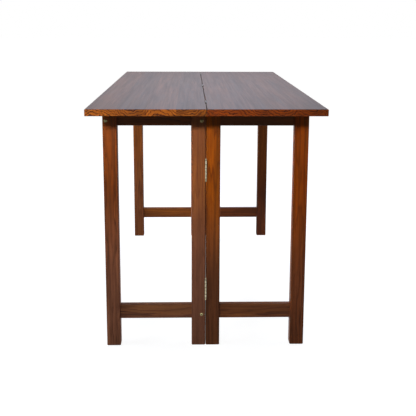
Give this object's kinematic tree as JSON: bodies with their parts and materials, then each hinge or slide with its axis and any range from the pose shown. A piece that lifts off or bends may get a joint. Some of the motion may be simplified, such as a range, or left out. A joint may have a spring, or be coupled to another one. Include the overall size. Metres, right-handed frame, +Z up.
{
  "type": "convertible console table",
  "caption": "Console table whose top leaf unfolds onto two hinged gates to make a dining table, on straight eased wooden legs.",
  "frame": {"origin": "on the floor, under the seam at the middle of the table's length", "axes": "+Z up, +Y along the table towards the far end, +X across the table from the fixed leaf to the folding leaf"},
  "size_m": [0.69, 1.4, 0.7624],
  "materials": {
    "top_wood": "dark walnut-stained hardwood, satin lacquer",
    "frame_wood": "dark walnut-stained hardwood, satin lacquer",
    "gate_wood": "dark walnut-stained hardwood, satin lacquer",
    "inner_wood": "plain planed hardwood",
    "bolt_brass": "antiqued brass",
    "hinge_brass": "polished brass",
    "hinge_bronze": "dark bronze",
    "steel": "zinc plated"
  },
  "bodies": {
    "base": {"fixed_leaf": "top_wood", "outer_apron": "frame_wood", "inner_apron": "frame_wood", "long_stretcher": "frame_wood", "near_outer_leg": "frame_wood", "near_inner_leg": "frame_wood", "near_top_rail": "frame_wood", "near_stretcher": "frame_wood", "far_outer_leg": "frame_wood", "far_inner_leg": "frame_wood", "far_top_rail": "frame_wood", "far_stretcher": "frame_wood", "near_frame_bolts": "bolt_brass", "far_frame_bolts": "bolt_brass", "barrel_nuts": "steel", "locating_dowels": "inner_wood", "top_cleats": "inner_wood", "cleat_apron_screws": "steel", "cleat_leaf_screws": "steel", "near_upper_frame_plate": "hinge_brass", "near_upper_pin": "hinge_brass", "near_lower_frame_plate": "hinge_brass", "near_lower_pin": "hinge_brass", "far_upper_frame_plate": "hinge_brass", "far_upper_pin": "hinge_brass", "far_lower_frame_plate": "hinge_brass", "far_lower_pin": "hinge_brass", "frame_hinge_screws": "hinge_brass", "near_top_hinge_fixed_plate": "hinge_bronze", "near_top_hinge_pin": "hinge_bronze", "middle_top_hinge_fixed_plate": "hinge_bronze", "middle_top_hinge_pin": "hinge_bronze", "far_top_hinge_fixed_plate": "hinge_bronze", "far_top_hinge_pin": "hinge_bronze", "fixed_leaf_hinge_screws": "hinge_bronze"},
    "near_gate": {"near_gate_hinge_leg": "gate_wood", "near_gate_outer_leg": "gate_wood", "near_gate_rail": "gate_wood", "near_gate_stretcher": "gate_wood", "near_upper_gate_plate": "hinge_brass", "near_lower_gate_plate": "hinge_brass", "near_gate_hinge_screws": "hinge_brass"},
    "far_gate": {"far_gate_hinge_leg": "gate_wood", "far_gate_outer_leg": "gate_wood", "far_gate_rail": "gate_wood", "far_gate_stretcher": "gate_wood", "far_upper_gate_plate": "hinge_brass", "far_lower_gate_plate": "hinge_brass", "far_gate_hinge_screws": "hinge_brass"},
    "folding_leaf": {"folding_leaf": "top_wood", "near_top_hinge_leaf_plate": "hinge_bronze", "middle_top_hinge_leaf_plate": "hinge_bronze", "far_top_hinge_leaf_plate": "hinge_bronze", "folding_leaf_hinge_screws": "hinge_bronze"}
  },
  "joints": [
    {"name": "near_gate_swing", "type": "hinge", "parent": "base", "child": "near_gate", "pos_m": [0, -0.5965, 0.375], "axis": [0, 0, -1], "range_deg": [0, 180]},
    {"name": "far_gate_swing", "type": "hinge", "parent": "base", "child": "far_gate", "pos_m": [0, 0.5965, 0.375], "axis": [0, 0, 1], "range_deg": [0, 180]},
    {"name": "leaf_fold", "type": "hinge", "parent": "base", "child": "folding_leaf", "pos_m": [0, 0, 0.7602], "axis": [0, -1, 0], "range_deg": [0, 180]}
  ]
}
